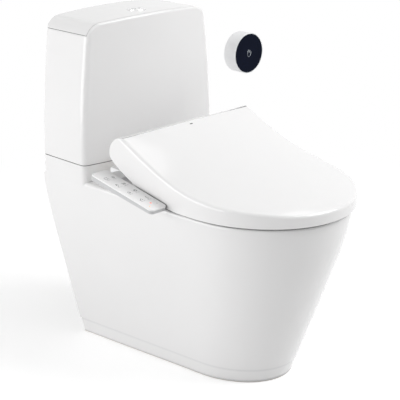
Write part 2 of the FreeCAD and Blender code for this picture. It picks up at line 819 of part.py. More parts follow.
def base_top_cover():
    cover = base_solid(0).cut(box(-base_half - 1, base_half + 1, base_front - 1, base_rear + 1,
                                  base_floor - 1, base_split))
    cover = cover.cut(base_solid(base_wall))
    for side in (-1, 1):
        for place in (damper_length - 12, damper_length * 0.35):
            x = side * (base_half - base_wall - place)
            rib = rod(base_core_radius - 1, (x - 1.5, hinge_y, hinge_z), (x + 1.5, hinge_y, hinge_z))
            cover = cover.fuse(rib)
        inner, outer = side * (base_half - base_wall - damper_length - 1), side * (base_half - base_wall)
        cover = cover.cut(rod(damper_radius + 0.2, (inner, hinge_y, hinge_z), (outer, hinge_y, hinge_z)))
        cover = cover.cut(rod(hinge_shaft_radius + 0.3, (outer, hinge_y, hinge_z),
                              (side * (base_half + 1), hinge_y, hinge_z)))
    return cover.removeSplitter()


def damper(side):
    outer = side * (base_half - base_wall - 0.3)
    inner = outer - side * damper_length
    body = rod(damper_radius, (inner, hinge_y, hinge_z), (outer, hinge_y, hinge_z))
    bore_end = outer - side * shaft_depth
    bore = rod(hinge_shaft_radius + running_gap, (bore_end, hinge_y, hinge_z), (outer, hinge_y, hinge_z))
    return body.cut(bore)


def water_heater():
    floor = base_floor + base_wall
    body = box(heater_x0, heater_x1, heater_y0, heater_y1, floor, base_box_top - base_wall - 1)
    body = body.makeFillet(6, [e for e in body.Edges if abs(e.tangentAt(0).z) > 0.9])
    for y in (heater_y0 + 15, heater_y1 - 15):
        body = body.fuse(rod(4, (heater_x0 - 8, y, inlet_z), (heater_x0 + 2, y, inlet_z)))
    return body.removeSplitter()


def solenoid_valve():
    floor = base_floor + base_wall
    body = box(inlet_x - 16, inlet_x + 16, base_rear - base_wall - 34, base_rear - base_wall - 4,
               floor, floor + 16)
    body = body.fuse(disc(11, inlet_x, base_rear - base_wall - 19, floor + 14, base_box_top - base_wall - 1))
    return body


def water_inlet():
    start = base_rear - base_wall - 4
    body = rod(inlet_radius, (inlet_x, start, inlet_z), (inlet_x, base_rear + inlet_reach, inlet_z))
    collar = rod(inlet_radius + 3, (inlet_x, base_rear, inlet_z), (inlet_x, base_rear + 3, inlet_z))
    body = body.fuse(collar)
    return body.cut(rod(inlet_radius - 2, (inlet_x, start - 1, inlet_z),
                        (inlet_x, base_rear + inlet_reach + 1, inlet_z)))


def power_gland():
    start = base_rear - base_wall - 3
    body = rod(gland_radius, (gland_x, start, inlet_z), (gland_x, base_rear + 9, inlet_z))
    body = body.fuse(rod(gland_radius + 3, (gland_x, base_rear, inlet_z), (gland_x, base_rear + 3, inlet_z)))
    return body.cut(rod(gland_bore, (gland_x, start - 1, inlet_z), (gland_x, base_rear + 10, inlet_z)))


def main_board():
    low = base_floor + base_wall + board_lift
    body = box(board_x - 36, board_x + 36, board_y - 26, board_y + 26, low, low + 1.6)
    for x, y, wide, long, high in ((-18, -10, 22, 16, 14), (14, -12, 14, 20, 9), (-16, 14, 10, 14, 18),
                                   (8, 14, 18, 10, 6)):
        body = body.fuse(box(board_x + x - wide / 2, board_x + x + wide / 2, board_y + y - long / 2,
                             board_y + y + long / 2, low + 1.6, low + 1.6 + high))
    return body.removeSplitter()


# --- nozzles ---

def along_nozzle(x, reach):
    """Point on a nozzle's axis; reach is measured back from where the axis crosses y = 0."""
    turn = math.radians(nozzle_tilt)
    return (x, reach * math.cos(turn), nozzle_exit_z + reach * math.sin(turn))


def nozzle(side):
    x = side * nozzle_x
    tip, tail = along_nozzle(x, nozzle_front_y), along_nozzle(x, nozzle_front_y + nozzle_length)
    body = rod(nozzle_radius, tip, tail).fuse(Part.makeSphere(nozzle_radius, Vector(*tip)))
    spray = Vector(*along_nozzle(x, nozzle_front_y + 2))
    body = body.cut(Part.makeCylinder(1.0, nozzle_radius + 1, spray, Vector(0, 0, 1)))
    return body.removeSplitter()


def nozzle_cradle():
    turn = math.radians(nozzle_tilt)
    start, length = cradle_start, nozzle_front_y + nozzle_length - cradle_start - 2
    block = box(-cradle_half, cradle_half, start, start + length, -cradle_depth / 2, cradle_depth / 2)
    block.rotate(Vector(0, 0, 0), Vector(1, 0, 0), nozzle_tilt)
    block.translate(Vector(0, 0, nozzle_exit_z))
    middle = (start + 0.75 * length) * math.cos(turn)
    floor = base_floor + base_wall
    foot = box(-cradle_half - 8, cradle_half + 8, middle - 12, middle + 12, floor, floor + 7)
    body = block.fuse(foot)
    for side in (-1, 1):
        body = body.cut(rod(nozzle_radius + running_gap, along_nozzle(side * nozzle_x, start - 5),
                            along_nozzle(side * nozzle_x, start + length + 5)))
    return body.removeSplitter()


def nozzle_motor():
    turn = math.radians(nozzle_tilt)
    y = (nozzle_front_y + nozzle_length - 22) * math.cos(turn)
    z = base_floor + base_wall + 19
    return rod(motor_radius, (cradle_half, y, z), (cradle_half + 24, y, z))


# --- seat ring ---

def seat_half():
    return lid_half - lid_shell_wall - seat_clearance


def seat_top(y):
    nose = lid_nose - lid_shell_wall - seat_clearance
    return seat_bottom + seat_nose_height + seat_slope * (y + nose)


def seat_body(inset, low, drop):
    """The ring, drawn in by inset, from a flat underside to a top that slopes down to the nose."""
    nose = lid_nose - lid_shell_wall - seat_clearance - inset
    rear_half = lid_rear_half - lid_shell_wall - 2
    outline = nose_outline(rear_half - inset, base_front - 2 - inset, seat_half() - inset,
                           lid_half_y, nose, low)
    body = prism(outline, 60)
    body = body.cut(prism(oval(seat_open_half + inset, seat_open_length_half + inset,
                               seat_open_centre_y, low), 60))
    far = lid_nose + 20
    above = polygon_x([(-far, seat_top(-far) - drop), (60, seat_top(60) - drop), (60, 600), (-far, 600)],
                      lid_half + 10)
    return body.cut(above)


def seat_top_shell():
    body = seat_body(0, seat_bottom, 0)
    body = body.makeFillet(seat_round, [e for e in body.Edges if e.BoundBox.ZMin > seat_bottom + 3
                                        and e.BoundBox.YMin < base_front - 20])
    hollow = seat_body(seat_shell, seat_bottom - 1, seat_shell)
    body = body.cut(hollow.makeFillet(seat_round - seat_shell, [
        e for e in hollow.Edges if e.BoundBox.ZMin > seat_bottom + 3 and e.BoundBox.YMin < base_front - 20]))
    start = base_front - 2 - seat_shell
    for side in (-1, 1):
        low, high = sorted((side * (base_half + side_gap), side * (base_half + side_gap + seat_arm_width)))
        arm = polygon_x([(start, seat_bottom), (start + seat_shell, seat_bottom),
                         (hinge_y - 30, hinge_z - 27),
                         (hinge_y + 7, hinge_z - seat_arm_radius + 2),
                         (hinge_y - 7, hinge_z + seat_arm_radius - 2),
                         (start, seat_top(start) - 1)], seat_arm_width / 2)
        arm.translate(Vector((low + high) / 2, 0, 0))
        body = body.fuse(arm)
        body = body.fuse(rod(seat_arm_radius, (low, hinge_y, hinge_z), (high, hinge_y, hinge_z)))
        clearance = 0.02 if side < 0 else running_gap
        body = body.cut(rod(hinge_shaft_radius + clearance, (low - 1, hinge_y, hinge_z),
                            (high + 1, hinge_y, hinge_z)))
    return body.removeSplitter()


def seat_bottom_shell():
    body = seat_body(seat_shell, seat_bottom, 0)
    return body.common(box(-lid_half, lid_half, -lid_nose, base_front, seat_bottom, seat_bottom + seat_shell))


def seat_heater():
    sheet = seat_body(seat_shell + 8, seat_bottom, seat_shell)
    return sheet.cut(seat_body(seat_shell, seat_bottom - 1, seat_shell + 1.2))


def seat_bumpers():
    solids = []
    for side in (-1, 1):
        for x, y in ((140, -48), (92, 75 - pan_nose)):
            solids.append(box(side * x - 7, side * x + 7, y - 14, y + 14, rim_top, seat_bottom))
    return Part.makeCompound(solids)


def hinge_shaft(side):
    inner = side * (base_half - base_wall - shaft_depth)
    outer = side * (lid_rear_half - lid_shell_wall)
    return rod(hinge_shaft_radius, (inner, hinge_y, hinge_z), (outer, hinge_y, hinge_z))


# --- lid ---

def crown_cutter(drop):
    """Everything above the lid's top: lofted through crowned stations from rear to nose."""
    wires = []
    half = lid_half + 20
    hood_top = hinge_z + hood_radius
    stations = [(hinge_y + y, hood_top + side, hood_top + middle) for y, side, middle in crown_rear]
    stations += [(y - lid_nose, lid_low + side, lid_low + middle) for y, side, middle in crown_front]
    for y, side_z, middle_z in stations:
        ahead = min(max(lid_half_y - y, 0) / (lid_nose + lid_half_y), 0.94)
        side = lid_half * math.sqrt(1 - ahead ** 2)
        edge_z = middle_z - (middle_z - side_z) * (half / side) ** 2
        corners = [(half, y, 620), (-half, y, 620)]
        edges = [arc_edge((-half, y, edge_z - drop), (0, y, middle_z - drop), (half, y, edge_z - drop)),
                 line_edge((half, y, edge_z - drop), corners[0]),
                 line_edge(corners[0], corners[1]),
                 line_edge(corners[1], (-half, y, edge_z - drop))]
        wires.append(Part.Wire(edges))
    return Part.makeLoft(wires, True, False)


def side_view(inset, low):
    """Side profile of the lid: rising lower edge and a round hood about the hinge line."""
    radius = hood_radius - inset
    end = math.radians(hood_end)
    middle = end / 2
    rear = (0, hinge_y + radius * math.sin(end), hinge_z + radius * math.cos(end))
    half_way = (0, hinge_y + radius * math.sin(middle), hinge_z + radius * math.cos(middle))
    top = (0, hinge_y, hinge_z + radius)
    far = -lid_nose - 20
    lower = [(0, hinge_y + y, lid_low + z - low) for y, z in skirt_rise] + [rear]
    edges = [line_edge((0, far, lower[0][2]), lower[0]), spline_edge(lower), arc_edge(rear, half_way, top),
             line_edge(top, (0, hinge_y, 600)), line_edge((0, hinge_y, 600), (0, far, 600)),
             line_edge((0, far, 600), (0, far, lower[0][2]))]
    return profile_x(edges, lid_half + 10)


def lid_body(inset, low):
    """Solid form of the lid, drawn in by inset and carried down by low."""
    outline = nose_outline(lid_rear_half - inset, hinge_y + hood_radius + 2, lid_half - inset, lid_half_y,
                           lid_nose - inset, rim_top - 20)
    blank = prism(outline, 200).cut(crown_cutter(inset))
    crease = [e for e in blank.Edges if e.Length > 2 * lid_nose and e.BoundBox.ZMax > rim_top + 20]
    return blank.makeFillet(lid_round - inset, crease).common(side_view(inset, low))


def lid_shell(walls):
    inner = lid_rear_half - lid_shell_wall
    body = walls.cut(box(-inner, inner, hinge_y - groove, hinge_y + hood_radius + 2,
                        hinge_z - hood_radius, hinge_z + hood_radius + 5))
    for side in (-1, 1):
        start = side * (base_half + 2 * side_gap + seat_arm_width)
        boss = rod(seat_arm_radius, (start, hinge_y, hinge_z), (side * (inner + 1), hinge_y, hinge_z))
        body = body.fuse(boss)
        clearance = 0.02 if side > 0 else running_gap
        body = body.cut(rod(hinge_shaft_radius + clearance, (start, hinge_y, hinge_z),
                            (side * inner, hinge_y, hinge_z)))
    return body.removeSplitter()


def barrel_sector(outer, inner, start, end, half):
    """Part of a tube about the hinge line; angles run from the top towards the rear."""
    body = tube(outer, inner, (-half, hinge_y, hinge_z), (half, hinge_y, hinge_z))
    reach = 3 * outer
    points = [(hinge_y, hinge_z)]
    for n in range(4):
        turn = math.radians(start + (end - start) * n / 3)
        points.append((hinge_y + reach * math.sin(turn), hinge_z + reach * math.cos(turn)))
    return body.common(polygon_x(points, half + 1))


def lid_hinge_cover(walls):
    half = lid_rear_half - lid_shell_wall - 0.3
    inner = hood_radius - lid_shell_wall
    cover = barrel_sector(hood_radius, inner, 1.0, hood_end, half)
    tongue = barrel_sector(inner + 0.5, inner - 2, -8, 14, half - 6)
    return cover.fuse(tongue.cut(walls)).removeSplitter()


def lid_bumpers(room):
    solids = []
    for side in (-1, 1):
        for x, y in ((70, 54 - lid_nose), (150, -90)):
            pad = box(side * x - 8, side * x + 8, y - 8, y + 8, seat_bottom, hinge_z + 40)
            pad = pad.common(room)
            below = seat_body(-6, seat_bottom - 1, -0.3)
            solids.append(pad.cut(below))
    return Part.makeCompound(solids)


# --- control panel ---

def on_panel(shape):
    """Place a shape drawn flat about the panel's middle, its top face at height 0."""
    shape.rotate(Vector(0, 0, 0), Vector(1, 0, 0), panel_tilt)
    shape.translate(Vector(panel_x, panel_y, panel_z))
    return shape


def rounded_slab(wide, long, radius, low, high, x=0, y=0):
    slab = box(x - wide / 2, x + wide / 2, y - long / 2, y + long / 2, low, high)
    return slab.makeFillet(radius, [e for e in slab.Edges if abs(e.tangentAt(0).z) > 0.9])


def key_places():
    start = panel_length / 2 - key_start
    return [(x, start - key_pitch * n) for n in range(key_rows) for x in key_columns]


def panel_top_shell():
    body = rounded_slab(panel_width, panel_length, panel_corner, -panel_top_thickness, 0)
    body = body.makeFillet(1.2, [e for e in body.Edges if e.BoundBox.ZMin > -0.01])
    for x, y in key_places():
        body = body.cut(rounded_slab(key_width + 2 * key_gap, key_length + 2 * key_gap, 3 + key_gap,
                                     -panel_top_thickness, 0.1, x, y))
    return on_panel(body)


def panel_lower_shell():
    deep, shallow = panel_rear_depth, panel_front_depth
    body = rounded_slab(panel_width, panel_length, panel_corner, -deep - 2, -panel_top_thickness)
    rear, front = panel_length / 2, -panel_length / 2
    under = polygon_x([(front - 1, -shallow), (rear + 1, -deep), (rear + 1, -deep - 10),
                       (front - 1, -deep - 10)], panel_width)
    body = body.cut(under)
    inside = rounded_slab(panel_width - 2 * panel_skin, panel_length - 2 * panel_skin,
                          panel_corner - panel_skin, -shallow + panel_skin, -panel_top_thickness)
    body = body.cut(inside)
    return on_panel(body)


def panel_board():
    body = rounded_slab(panel_width - 2 * panel_skin - 1, panel_length - 2 * panel_skin - 1,
                        panel_corner - panel_skin - 0.5, -panel_front_depth + panel_skin,
                        -panel_front_depth + panel_skin + 1.2)
    return on_panel(body)


def panel_key(place):
    x, y = place
    body = rounded_slab(key_width, key_length, 3, key_rise - key_thickness, key_rise, x, y)
    body = body.makeFillet(0.5, [e for e in body.Edges if e.BoundBox.ZMin > key_rise - 0.01])
    stem = disc(2, x, y, -panel_front_depth + panel_skin + 1.2 + key_travel + 0.1, key_rise - key_thickness)
    return on_panel(body.fuse(stem))


# --- touchless sensor ---

def sensor_rod(radius, front, back):
    """Cylinder on the sensor's axis; distances are measured out from the wall."""
    return rod(radius, (sensor_x, wall_y - front, sensor_z), (sensor_x, wall_y - back, sensor_z))


def sensor_housing():
    body = sensor_rod(sensor_radius, sensor_depth, sensor_plate)
    body = body.makeFillet(0.8, [e for e in body.Edges if e.BoundBox.YMax < wall_y - sensor_depth + 0.1
                               and e.BoundBox.XLength > sensor_radius])
    body = body.cut(sensor_rod(sensor_radius - sensor_wall, sensor_depth - 6, 0))
    return body.cut(sensor_rod(sensor_face_radius + 0.1, sensor_depth + 1,
                               sensor_depth - sensor_face_thickness))


def sensor_face():
    front = sensor_depth - 0.3
    return sensor_rod(sensor_face_radius, front, sensor_depth - sensor_face_thickness)


def sensor_wall_plate():
    body = sensor_rod(sensor_radius - 1, sensor_plate, 0)
    for side in (-1, 1):
        hook = box(sensor_x + side * 30 - 5, sensor_x + side * 30 + 5, wall_y - sensor_plate - 8,
                   wall_y - sensor_plate, sensor_z - 4, sensor_z + 4)
        body = body.fuse(hook)
    for z in (sensor_z - 28, sensor_z + 28):
        body = body.cut(rod(sensor_screw_radius, (sensor_x, wall_y - sensor_plate, z), (sensor_x, wall_y, z)))
    return body.removeSplitter()


def sensor_batteries():
    y = wall_y - sensor_plate - cell_radius
    half = cell_length / 2
    return Part.makeCompound([disc(cell_radius, sensor_x + n * (2 * cell_radius + 1), y, sensor_z - half,
                                   sensor_z + half) for n in (-1, 0, 1)])


def build_nodes():
    room = lid_body(lid_shell_wall, 12)
    walls = lid_body(0, 0).cut(room)
    nodes = {
        "pan": pan(), "outlet_seal": outlet_seal(), "tank": tank(), "tank_lid": tank_lid(),
        "tank_seals": tank_seals(), "tank_bolts": tank_bolts(), "tank_bolt_nuts": tank_bolt_nuts(),
        "flush_valve_body": flush_valve_body(), "flush_valve_nut": flush_valve_nut(),
        "flush_valve_tube": flush_valve_tube(), "flush_valve_seal": flush_valve_seal(),
        "fill_valve_body": fill_valve_body(), "fill_valve_nut": fill_valve_nut(),
        "fill_valve_float": fill_valve_float(), "flush_actuator": flush_actuator(),
        "flush_button_housing": flush_button_housing(),
        "full_flush_button": flush_button(-1), "half_flush_button": flush_button(1),
        "full_flush_rod": flush_rod(-1), "half_flush_rod": flush_rod(1),
        "mounting_plate": mounting_plate(), "seat_fixing_bolts": seat_fixing_bolts(),
        "seat_fixing_nuts": seat_fixing_nuts(), "base_lower_housing": base_lower_housing(),
        "base_top_cover": base_top_cover(), "seat_damper": damper(-1), "lid_damper": damper(1),
        "water_heater": water_heater(), "solenoid_valve": solenoid_valve(), "water_inlet": water_inlet(),
        "power_gland": power_gland(), "main_board": main_board(),
        "rear_wash_nozzle": nozzle(-1), "front_wash_nozzle": nozzle(1),
        "nozzle_cradle": nozzle_cradle(), "nozzle_motor": nozzle_motor(),
        "seat_top_shell": seat_top_shell(), "seat_bottom_shell": seat_bottom_shell(),
        "seat_heater": seat_heater(), "seat_bumpers": seat_bumpers(), "seat_hinge_shaft": hinge_shaft(-1),
        "lid_shell": lid_shell(walls), "lid_hinge_cover": lid_hinge_cover(walls),
        "lid_bumpers": lid_bumpers(room),
        "lid_hinge_shaft": hinge_shaft(1),
        "panel_top_shell": panel_top_shell(), "panel_lower_shell": panel_lower_shell(),
        "panel_board": panel_board(),
        "sensor_housing": sensor_housing(), "sensor_face": sensor_face(),
        "sensor_wall_plate": sensor_wall_plate(), "sensor_batteries": sensor_batteries(),
    }
    for number, place in enumerate(key_places(), 1):
        nodes["panel_key_%d" % number] = panel_key(place)
    return nodes


os.makedirs("parts", exist_ok=True)
for name, shape in build_nodes().items():
    shape.exportStep("parts/" + name + ".step")
    print(name, "solids", len(shape.Solids), "valid", shape.isValid(), "volume %.0f" % shape.Volume)
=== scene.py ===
import math

import bmesh
import bpy
from mathutils import Matrix, Vector


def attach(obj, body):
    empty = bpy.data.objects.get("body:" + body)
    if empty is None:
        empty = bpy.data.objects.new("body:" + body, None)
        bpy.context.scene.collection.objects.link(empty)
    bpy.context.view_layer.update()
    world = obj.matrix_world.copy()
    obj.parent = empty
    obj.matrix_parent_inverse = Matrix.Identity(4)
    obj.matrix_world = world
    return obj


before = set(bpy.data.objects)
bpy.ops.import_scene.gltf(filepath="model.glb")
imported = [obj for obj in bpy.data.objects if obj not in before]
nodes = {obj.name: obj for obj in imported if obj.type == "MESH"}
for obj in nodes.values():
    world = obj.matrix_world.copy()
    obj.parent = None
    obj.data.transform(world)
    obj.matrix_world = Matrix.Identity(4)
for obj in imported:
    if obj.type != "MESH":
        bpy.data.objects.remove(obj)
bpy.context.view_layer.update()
scene = bpy.context.scene


viewpoint = {
    "place": (-1.7748, -1.771, 1.2006),
    "azimuth": -44.89,
    "elevation": 19.01,
    "lens": 111.12,
    "sensor": 36.0,
    "reach": (0.05, 60),    # nearest and farthest that it sees
}


def makeCamera(spec):
    data = bpy.data.cameras.new("photoCamera")
    data.lens = spec["lens"]
    data.sensor_width = spec["sensor"]
    data.clip_start, data.clip_end = spec["reach"]
    camera = bpy.data.objects.new("photoCamera", data)
    scene.collection.objects.link(camera)
    a, e = math.radians(spec["azimuth"]), math.radians(spec["elevation"])
    back = Vector((math.sin(a) * math.cos(e), -math.cos(a) * math.cos(e), math.sin(e)))
    camera.location = spec["place"]
    camera.rotation_mode = "QUATERNION"
    camera.rotation_quaternion = (-back).to_track_quat("-Z", "Y")
    scene.camera = camera


def makeSoftbox(name, place, aim, size, power):
    data = bpy.data.lights.new(name, "AREA")
    data.shape = "RECTANGLE"
    data.size, data.size_y = size
    data.energy = power
    lamp = bpy.data.objects.new(name, data)
    scene.collection.objects.link(lamp)
    lamp.location = place
    lamp.rotation_mode = "QUATERNION"
    lamp.rotation_quaternion = (Vector(aim) - Vector(place)).to_track_quat("-Z", "Y")


class Feed:    # a socket that can be used in sums
    def __init__(self, finish, socket, maker):
        self.finish = finish
        self.socket = socket
        self.maker = maker

    def maths(self, operation, first, second=None):
        values = {0: first}
        if second is not None:
            values[1] = second
        return self.finish.node("ShaderNodeMath", {"operation": operation}, values)

    def __add__(self, other):
        return self.maths("ADD", self, other)

    def __radd__(self, other):
        return self.maths("ADD", other, self)

    def __sub__(self, other):
        return self.maths("SUBTRACT", self, other)

    def __rsub__(self, other):
        return self.maths("SUBTRACT", other, self)

    def __mul__(self, other):
        return self.maths("MULTIPLY", self, other)

    def __rmul__(self, other):
        return self.maths("MULTIPLY", other, self)

    def __lt__(self, other):
        return self.maths("LESS_THAN", self, other)

    def __gt__(self, other):
        return self.maths("GREATER_THAN", self, other)

    def __abs__(self):
        return self.maths("ABSOLUTE", self)


class NodeTree:    # makes and joins the nodes of one material or world
    def __init__(self, tree):
        self.tree = tree
        self.tree.nodes.clear()

    def feed(self, socket, value):
        if isinstance(value, Feed):
            self.tree.links.new(value.socket, socket)
        else:
            socket.default_value = value

    def node(self, kind, settings=None, values=None, outlet=0):
        made = self.tree.nodes.new(kind)
        for key, value in (settings or {}).items():
            setattr(made, key, value)
        for key, value in (values or {}).items():
            self.feed(made.inputs[key], value)
        return Feed(self, made.outputs[outlet] if len(made.outputs) else None, made)

    def ray(self, kind):    # 1 for rays of that kind
        return self.node("ShaderNodeLightPath", outlet="Is %s Ray" % kind)


class Finish(NodeTree):    # a material built from one principled shader
    sockets = {"colour": "Base Color", "roughness": "Roughness", "metallic": "Metallic",
               "coat": "Coat Weight", "coatRoughness": "Coat Roughness", "normal": "Normal",
               "glow": "Emission Color", "glowStrength": "Emission Strength",
               "specular": "Specular IOR Level"}

    def __init__(self, name):
        self.material = bpy.data.materials.new(name)
        self.material.use_nodes = True
        super().__init__(self.material.node_tree)
        self.shader = self.node("ShaderNodeBsdfPrincipled")
        self.outlet = self.node("ShaderNodeOutputMaterial", values={0: self.shader})

    def place(self):
        return self.node("ShaderNodeTexCoord", outlet="Object")

    def axis(self, letter):
        return self.node("ShaderNodeSeparateXYZ", values={0: self.place()}, outlet=letter)

    def stretched(self, factors):
        return self.node("ShaderNodeVectorMath", {"operation": "MULTIPLY"},
                         {0: self.place(), 1: factors})

    def noise(self, scale, detail=3.0, roughness=0.5, place=None):
        return self.node("ShaderNodeTexNoise", values={
            "Vector": place or self.place(), "Scale": scale, "Detail": detail,
            "Roughness": roughness})

    def mix(self, factor, first, second):
        return self.node("ShaderNodeMix", {"data_type": "RGBA"},
                         {0: factor, 6: first, 7: second}, outlet=2)

    def range(self, value, low, high, start=0.0, end=1.0):
        return self.node("ShaderNodeMapRange", values={
            0: value, 1: low, 2: high, 3: start, 4: end})

    def paintedGapShadeMask(self, reach):    # painted shade mask from ambient occlusion: 1 deep in a gap, 0 in the open
        gap = self.node("ShaderNodeAmbientOcclusion", {"samples": 12}, {"Distance": reach},
                        outlet="AO")
        return self.range(gap, 0.2, 0.65, 1.0, 0.0)

    def bump(self, height, strength, distance):
        return self.node("ShaderNodeBump", values={
            "Strength": strength, "Distance": distance, "Height": height})

    def set(self, **values):
        for key, value in values.items():
            self.feed(self.shader.maker.inputs[self.sockets[key]], value)
        return self.material


def grey(level):
    return (level, level, level, 1.0)


chinaLook = {
    "white": (0.872, 0.868, 0.868, 1),
    "shade": (0.842, 0.838, 0.838, 1),
    # painted shade colour and reach, darkening the china in gaps and under the lid's edge
    "seam": (0.10, 0.10, 0.105, 1),
    "seamReach": 0.016,
    "bare": (0.62, 0.58, 0.52, 1),    # the ring that the pan is fired on stays unglazed
    "footHeight": 0.0012,
    "paintedStepShade": (0.62, 0.625, 0.635, 1),    # painted shade: a darker band at the plinth's step, standing in for the step's shadow
    "stepHeight": 0.0315,
    "stepReach": 0.005,
    "cloudScale": 5.0,
    "polishScale": 24.0,
    "polish": (0.15, 0.21),
    "rippleScale": 38.0,
    "rippleDepth": 0.0006,
}


def makeChina(name, bareFoot):
    look = chinaLook
    finish = Finish(name)
    cloud = finish.noise(look["cloudScale"], 2.0)
    colour = finish.mix(cloud, look["white"], look["shade"])
    # painted shade: ambient occlusion darkens the china in gaps and under the lid's edge
    colour = finish.mix(0.92 * finish.paintedGapShadeMask(look["seamReach"]), colour, look["seam"])
    roughness = finish.range(finish.noise(look["polishScale"], 3.0), 0.3, 0.7, *look["polish"])
    ripple = finish.noise(look["rippleScale"], 2.0)
    if bareFoot:
        height = finish.axis("Z")
        # painted shade: a soft dark band round the height of the plinth's step
        offStep = abs(height - look["stepHeight"])
        step = finish.range(offStep, 0.0, look["stepReach"], 1.0, 0.0)
        colour = finish.mix(0.35 * step, colour, look["paintedStepShade"])
        bare = height < look["footHeight"]
        colour = finish.mix(bare, colour, look["bare"])
        roughness = roughness + 0.6 * bare
    return finish.set(colour=colour, roughness=roughness, coat=0.15, coatRoughness=0.12,
                      normal=finish.bump(ripple, 0.05, look["rippleDepth"]))


plasticLook = {
    "cloudScale": 7.0,
    # painted shade colour and reach for gaps between mouldings
    "seam": (0.08, 0.08, 0.085, 1),
    "seamReach": 0.008,
    "scuffStretch": (60, 60, 220),
}


def makePlastic(name, light, dark, polish, grain, depth, coat=0.0, seam=False):
    look = plasticLook
    finish = Finish(name)
    colour = finish.mix(finish.noise(look["cloudScale"], 2.0), light, dark)
    if seam:    # painted shade: gaps between mouldings are darkened from ambient occlusion
        colour = finish.mix(0.9 * finish.paintedGapShadeMask(look["seamReach"]), colour, look["seam"])
    rubbed = finish.noise(1.0, 4.0, 0.6, finish.stretched(look["scuffStretch"]))
    scuffs = finish.range(rubbed, 0.45, 0.75)
    smooth, rough = polish
    height = finish.noise(grain, 2.0)
    return finish.set(colour=colour, roughness=smooth + (rough - smooth) * scuffs, coat=coat,
                      coatRoughness=0.06, normal=finish.bump(height, 0.12, depth))


def makeRubber(name, light, dark):
    finish = Finish(name)
    dust = finish.range(finish.noise(45.0, 4.0), 0.4, 0.7)
    return finish.set(colour=finish.mix(dust, dark, light), roughness=0.55 + 0.3 * dust,
                      normal=finish.bump(finish.noise(1400.0, 2.0), 0.3, 0.0002))


def makeMetal(name, light, dark, polish, along):
    finish = Finish(name)
    streak = finish.noise(1.0, 4.0, 0.6, finish.stretched(along))
    smooth, rough = polish
    return finish.set(colour=finish.mix(streak, dark, light), metallic=1.0,
                      roughness=smooth + (rough - smooth) * streak,
                      normal=finish.bump(streak, 0.08, 0.0001))


boardLook = {
    "green": (0.02, 0.16, 0.07, 1),
    "paleGreen": (0.03, 0.20, 0.09, 1),
    "track": (0.16, 0.36, 0.14, 1),
    "trackWidth": 0.03,
    "scale": 110.0,
    "solder": (0.7, 0.7, 0.66, 1),
}


def makeBoard(name):
    look = boardLook
    finish = Finish(name)
    grid = finish.node("ShaderNodeTexBrick", values={
        "Vector": finish.place(), "Color1": look["green"], "Color2": look["paleGreen"],
        "Mortar": look["track"], "Scale": look["scale"], "Mortar Size": look["trackWidth"]})
    speck = finish.range(finish.noise(600.0, 1.0), 0.70, 0.74)
    return finish.set(colour=finish.mix(speck, grid, look["solder"]),
                      roughness=0.35 + 0.25 * speck, normal=finish.bump(speck, 0.2, 0.0002))


filmLook = {"film": (0.55, 0.28, 0.08, 1), "wire": (0.72, 0.42, 0.25, 1), "scale": 26.0}


def makeFilm(name):
    finish = Finish(name)
    track = finish.node("ShaderNodeTexWave", {"wave_type": "RINGS"}, {
        "Vector": finish.place(), "Scale": filmLook["scale"], "Distortion": 3.0, "Detail": 1.0},
        outlet="Fac")
    wire = finish.range(track, 0.62, 0.7)
    return finish.set(colour=finish.mix(wire, filmLook["film"], filmLook["wire"]),
                      metallic=0.7 * wire, roughness=0.42 - 0.12 * wire,
                      normal=finish.bump(wire, 0.3, 0.0001))


glassLook = {"black": (0.0035, 0.005, 0.013, 1), "blue": (0.006, 0.009, 0.022, 1)}


def makeDarkFace(name):
    finish = Finish(name)
    sheen = finish.noise(12.0, 2.0)
    return finish.set(colour=finish.mix(sheen, glassLook["black"], glassLook["blue"]),
                      roughness=finish.range(finish.noise(40.0, 3.0), 0.3, 0.7, 0.12, 0.2),
                      specular=0.03)


cellLook = {
    "wrap": (0.03, 0.10, 0.30, 1),
    "band": (0.75, 0.55, 0.2, 1),
    "cap": (0.7, 0.7, 0.7, 1),
    "bottom": 0.5285,    # heights where the wrap ends and the band starts
    "bandFrom": 0.562,
    "top": 0.5735,
}


def makeCellWrap(name):
    look = cellLook
    finish = Finish(name)
    height = finish.axis("Z")
    cap = (height > look["top"]) + (height < look["bottom"])
    band = (height > look["bandFrom"]) * (height < look["top"])
    colour = finish.mix(band, look["wrap"], look["band"])
    return finish.set(colour=finish.mix(cap, colour, look["cap"]), metallic=cap * 0.9,
                      roughness=finish.range(finish.noise(80.0), 0.3, 0.7, 0.25, 0.4))


def makeGlow(name, colour, strength):
    finish = Finish(name)
    core = finish.noise(300.0, 1.0)
    dim = (colour[0], colour[1] * 0.8, colour[2] * 0.8, 1)
    return finish.set(colour=finish.mix(core, colour, dim), glow=colour, glowStrength=strength,
                      roughness=0.3)


def makePrint(name, colour):
    finish = Finish(name)
    wear = finish.range(finish.noise(500.0, 2.0), 0.55, 0.75)
    return finish.set(colour=finish.mix(0.35 * wear, colour, (0.8, 0.8, 0.8, 1)),
                      roughness=0.5 + 0.15 * wear)


def greyPair(light, dark):    # two near greys, for a faint cloud in a moulding
    return {"light": (*light, 1), "dark": (*dark, 1)}


china = makeChina("glazedChina", False)
footedChina = makeChina("glazedChinaWithBareFoot", True)
lidShell = makePlastic("lidShell", polish=(0.14, 0.21), grain=700, depth=0.0001, coat=0.3,
                       seam=True, **greyPair((0.888, 0.884, 0.884), (0.868, 0.864, 0.864)))
seatShell = makePlastic("seatShell", polish=(0.28, 0.36), grain=800, depth=0.0001, coat=0.2,
                        **greyPair((0.88, 0.88, 0.88), (0.85, 0.85, 0.85)))
housing = makePlastic("housingPlastic", polish=(0.28, 0.42), grain=1200, depth=0.0002,
                      **greyPair((0.85, 0.85, 0.855), (0.82, 0.82, 0.825)))
panelShell = makePlastic("panelShell", polish=(0.28, 0.36), grain=1100, depth=0.0002,
                         seam=True, **greyPair((0.93, 0.928, 0.928), (0.91, 0.908, 0.908)))
